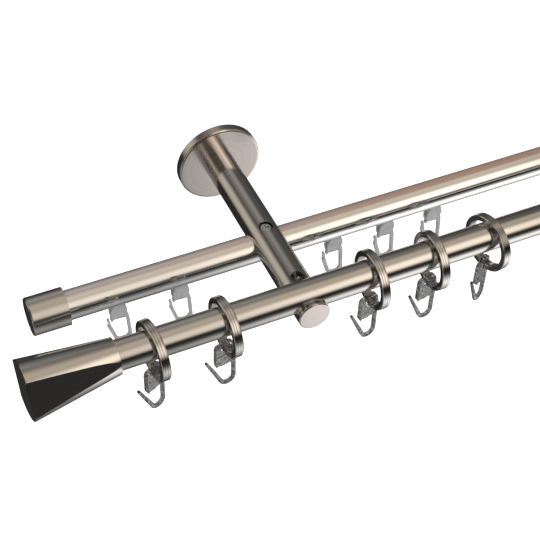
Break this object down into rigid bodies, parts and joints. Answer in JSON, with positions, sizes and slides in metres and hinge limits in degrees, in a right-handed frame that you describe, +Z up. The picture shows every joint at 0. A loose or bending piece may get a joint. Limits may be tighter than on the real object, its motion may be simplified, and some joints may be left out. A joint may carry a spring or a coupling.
{
  "type": "double curtain pole",
  "caption": "Wall-mounted double curtain pole in brushed metal: a round front pole with rings and flared square-cut finials, and a slotted rear rail with gliders, on round arms.",
  "frame": {"origin": "the middle of the left wall disc's back, on the axis of the left arm", "axes": "+X along the poles to the right, +Y into the wall, +Z up"},
  "size_m": [1.0486, 0.1703, 0.0864],
  "materials": {
    "brushed_nickel": "brushed",
    "satin_rail": "satin",
    "bright_screw": "polished",
    "zinc_steel": "zinc plated",
    "clear_plastic": "clear",
    "grey_plastic": "smoky translucent"
  },
  "bodies": {
    "frame": {"bracket_arm_left": "brushed_nickel", "wall_disc_left": "brushed_nickel", "fixing_plate_left": "zinc_steel", "arm_cap_left": "brushed_nickel", "bracket_arm_right": "brushed_nickel", "wall_disc_right": "brushed_nickel", "fixing_plate_right": "zinc_steel", "arm_cap_right": "brushed_nickel", "front_pole": "brushed_nickel", "rear_rail": "satin_rail", "rail_screws": "bright_screw", "rail_nuts": "zinc_steel", "pole_grub_screws": "bright_screw", "plate_grub_screws": "bright_screw", "finial_grub_screws": "bright_screw", "finial_left": "brushed_nickel", "finial_right": "brushed_nickel", "rail_end_cap_left": "brushed_nickel", "rail_end_cap_right": "brushed_nickel"},
    "ring_1": {"curtain_ring_1": "brushed_nickel"},
    "hook_1": {"ring_hook_1": "clear_plastic"},
    "ring_2": {"curtain_ring_2": "brushed_nickel"},
    "hook_2": {"ring_hook_2": "clear_plastic"},
    "ring_3": {"curtain_ring_3": "brushed_nickel"},
    "hook_3": {"ring_hook_3": "clear_plastic"},
    "ring_4": {"curtain_ring_4": "brushed_nickel"},
    "hook_4": {"ring_hook_4": "clear_plastic"},
    "ring_5": {"curtain_ring_5": "brushed_nickel"},
    "hook_5": {"ring_hook_5": "clear_plastic"},
    "ring_6": {"curtain_ring_6": "brushed_nickel"},
    "hook_6": {"ring_hook_6": "clear_plastic"},
    "ring_7": {"curtain_ring_7": "brushed_nickel"},
    "hook_7": {"ring_hook_7": "clear_plastic"},
    "ring_8": {"curtain_ring_8": "brushed_nickel"},
    "hook_8": {"ring_hook_8": "clear_plastic"},
    "glider_1": {"glider_1": "grey_plastic"},
    "glider_hook_1": {"glider_hook_1": "grey_plastic"},
    "glider_2": {"glider_2": "grey_plastic"},
    "glider_hook_2": {"glider_hook_2": "grey_plastic"},
    "glider_3": {"glider_3": "grey_plastic"},
    "glider_hook_3": {"glider_hook_3": "grey_plastic"},
    "glider_4": {"glider_4": "grey_plastic"},
    "glider_hook_4": {"glider_hook_4": "grey_plastic"},
    "glider_5": {"glider_5": "grey_plastic"},
    "glider_hook_5": {"glider_hook_5": "grey_plastic"},
    "glider_6": {"glider_6": "grey_plastic"},
    "glider_hook_6": {"glider_hook_6": "grey_plastic"},
    "glider_7": {"glider_7": "grey_plastic"},
    "glider_hook_7": {"glider_hook_7": "grey_plastic"},
    "glider_8": {"glider_8": "grey_plastic"},
    "glider_hook_8": {"glider_hook_8": "grey_plastic"}
  },
  "joints": [
    {"name": "ring_1_slide", "type": "slide", "parent": "frame", "child": "ring_1", "axis": [1, 0, 0], "range_m": [-0.017, 0.022]},
    {"name": "hook_1_swing", "type": "hinge", "parent": "ring_1", "child": "hook_1", "pos_m": [-0.1038, -0.149, -0.0189], "axis": [-0.4115, 0.9114, 0], "range_deg": [-30, 30]},
    {"name": "ring_2_slide", "type": "slide", "parent": "frame", "child": "ring_2", "axis": [1, 0, 0], "range_m": [-0.022, 0.038]},
    {"name": "hook_2_swing", "type": "hinge", "parent": "ring_2", "child": "hook_2", "pos_m": [-0.0554, -0.149, -0.0189], "axis": [-0.1323, 0.9912, 0], "range_deg": [-30, 30]},
    {"name": "ring_3_slide", "type": "slide", "parent": "frame", "child": "ring_3", "axis": [1, 0, 0], "range_m": [-0.032, 0.018]},
    {"name": "hook_3_swing", "type": "hinge", "parent": "ring_3", "child": "hook_3", "pos_m": [0.0481, -0.149, -0.0189], "axis": [-0.1736, 0.9848, 0], "range_deg": [-30, 30]},
    {"name": "ring_4_slide", "type": "slide", "parent": "frame", "child": "ring_4", "axis": [1, 0, 0], "range_m": [-0.018, 0.017]},
    {"name": "hook_4_swing", "type": "hinge", "parent": "ring_4", "child": "hook_4", "pos_m": [0.0923, -0.149, -0.0189], "axis": [-0.1409, 0.99, 0], "range_deg": [-30, 30]},
    {"name": "ring_5_slide", "type": "slide", "parent": "frame", "child": "ring_5", "axis": [1, 0, 0], "range_m": [-0.017, 0.466]},
    {"name": "hook_5_swing", "type": "hinge", "parent": "ring_5", "child": "hook_5", "pos_m": [0.1353, -0.149, -0.0189], "axis": [-0.506, 0.8625, 0], "range_deg": [-30, 30]},
    {"name": "ring_6_slide", "type": "slide", "parent": "frame", "child": "ring_6", "axis": [1, 0, 0], "range_m": [-0.466, 0.032]},
    {"name": "hook_6_swing", "type": "hinge", "parent": "ring_6", "child": "hook_6", "pos_m": [0.6269, -0.149, -0.0189], "axis": [0, 1, 0], "range_deg": [-30, 30]},
    {"name": "ring_7_slide", "type": "slide", "parent": "frame", "child": "ring_7", "axis": [1, 0, 0], "range_m": [-0.038, 0.022]},
    {"name": "hook_7_swing", "type": "hinge", "parent": "ring_7", "child": "hook_7", "pos_m": [0.7304, -0.149, -0.0189], "axis": [0.0454, 0.999, 0], "range_deg": [-30, 30]},
    {"name": "ring_8_slide", "type": "slide", "parent": "frame", "child": "ring_8", "axis": [1, 0, 0], "range_m": [-0.022, 0.017]},
    {"name": "hook_8_swing", "type": "hinge", "parent": "ring_8", "child": "hook_8", "pos_m": [0.7788, -0.149, -0.0189], "axis": [0.075, 0.9972, 0], "range_deg": [-30, 30]},
    {"name": "glider_1_slide", "type": "slide", "parent": "frame", "child": "glider_1", "axis": [1, 0, 0], "range_m": [-0.022, 0.023]},
    {"name": "glider_hook_1_swing", "type": "hinge", "parent": "glider_1", "child": "glider_hook_1", "pos_m": [-0.1075, -0.086, -0.0225], "axis": [0, 1, 0], "range_deg": [-30, 30]},
    {"name": "glider_2_slide", "type": "slide", "parent": "frame", "child": "glider_2", "axis": [1, 0, 0], "range_m": [-0.023, 0.094]},
    {"name": "glider_hook_2_swing", "type": "hinge", "parent": "glider_2", "child": "glider_hook_2", "pos_m": [-0.0635, -0.086, -0.0225], "axis": [0, 1, 0], "range_deg": [-30, 30]},
    {"name": "glider_3_slide", "type": "slide", "parent": "frame", "child": "glider_3", "axis": [1, 0, 0], "range_m": [-0.094, 0.02]},
    {"name": "glider_hook_3_swing", "type": "hinge", "parent": "glider_3", "child": "glider_hook_3", "pos_m": [0.0513, -0.086, -0.0225], "axis": [0, 1, 0], "range_deg": [-30, 30]},
    {"name": "glider_4_slide", "type": "slide", "parent": "frame", "child": "glider_4", "axis": [1, 0, 0], "range_m": [-0.02, 0.018]},
    {"name": "glider_hook_4_swing", "type": "hinge", "parent": "glider_4", "child": "glider_hook_4", "pos_m": [0.0922, -0.086, -0.0225], "axis": [0, 1, 0], "range_deg": [-30, 30]},
    {"name": "glider_5_slide", "type": "slide", "parent": "frame", "child": "glider_5", "axis": [1, 0, 0], "range_m": [-0.018, 0.472]},
    {"name": "glider_hook_5_swing", "type": "hinge", "parent": "glider_5", "child": "glider_hook_5", "pos_m": [0.1305, -0.086, -0.0225], "axis": [0, 1, 0], "range_deg": [-30, 30]},
    {"name": "glider_6_slide", "type": "slide", "parent": "frame", "child": "glider_6", "axis": [1, 0, 0], "range_m": [-0.472, 0.094]},
    {"name": "glider_hook_6_swing", "type": "hinge", "parent": "glider_6", "child": "glider_hook_6", "pos_m": [0.6237, -0.086, -0.0225], "axis": [0, 1, 0], "range_deg": [-30, 30]},
    {"name": "glider_7_slide", "type": "slide", "parent": "frame", "child": "glider_7", "axis": [1, 0, 0], "range_m": [-0.094, 0.023]},
    {"name": "glider_hook_7_swing", "type": "hinge", "parent": "glider_7", "child": "glider_hook_7", "pos_m": [0.7385, -0.086, -0.0225], "axis": [0, 1, 0], "range_deg": [-30, 30]},
    {"name": "glider_8_slide", "type": "slide", "parent": "frame", "child": "glider_8", "axis": [1, 0, 0], "range_m": [-0.023, 0.022]},
    {"name": "glider_hook_8_swing", "type": "hinge", "parent": "glider_8", "child": "glider_hook_8", "pos_m": [0.7825, -0.086, -0.0225], "axis": [0, 1, 0], "range_deg": [-30, 30]}
  ]
}
